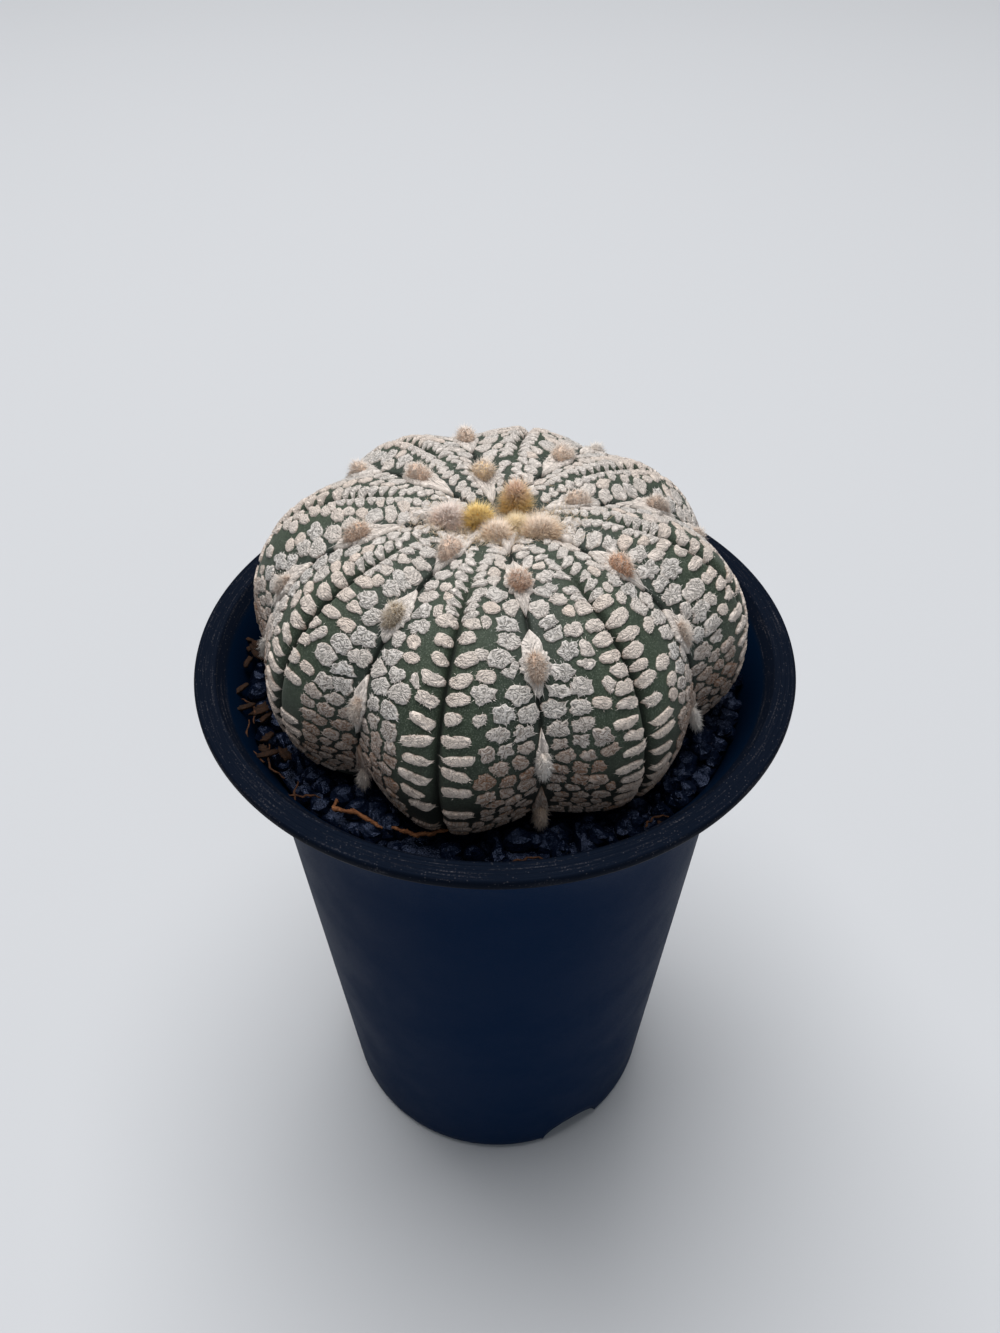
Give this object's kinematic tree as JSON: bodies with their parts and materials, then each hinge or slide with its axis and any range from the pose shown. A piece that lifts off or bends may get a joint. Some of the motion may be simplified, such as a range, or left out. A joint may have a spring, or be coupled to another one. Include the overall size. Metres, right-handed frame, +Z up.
{
  "type": "potted star cactus",
  "caption": "Flat ribbed star cactus with white felt pads and woolly tufts, rooted in dark grit in a tall black nursery pot that flares to a wide lip.",
  "frame": {"origin": "centre of the pot's underside, on the surface it stands on", "axes": "+Z up along the pot's axis, -Y towards the side the picture shows as the front, +X to its right"},
  "size_m": [0.1, 0.1, 0.1509],
  "materials": {
    "pot_plastic": "black moulded plastic, satin, with a fine grain and smoother lip",
    "grit": "damp black volcanic grit, rough with glossy facets",
    "cactus_skin": "dark grey-green waxy skin, matt, with fine pale pores, covered by cream felt pads",
    "wool": "dense woolly hair, golden to peach and pale yellow",
    "dry_root": "dry orange-brown root fibre, matt",
    "bark": "damp brown bark, rough"
  },
  "bodies": {
    "root": {"pot": "pot_plastic", "grit": "grit", "cactus": "cactus_skin", "crown_wool": "wool", "dry_root_long": "dry_root", "dry_root_short": "dry_root", "bark_chip_1": "bark", "bark_chip_2": "bark", "bark_chip_3": "bark"}
  },
  "joints": []
}
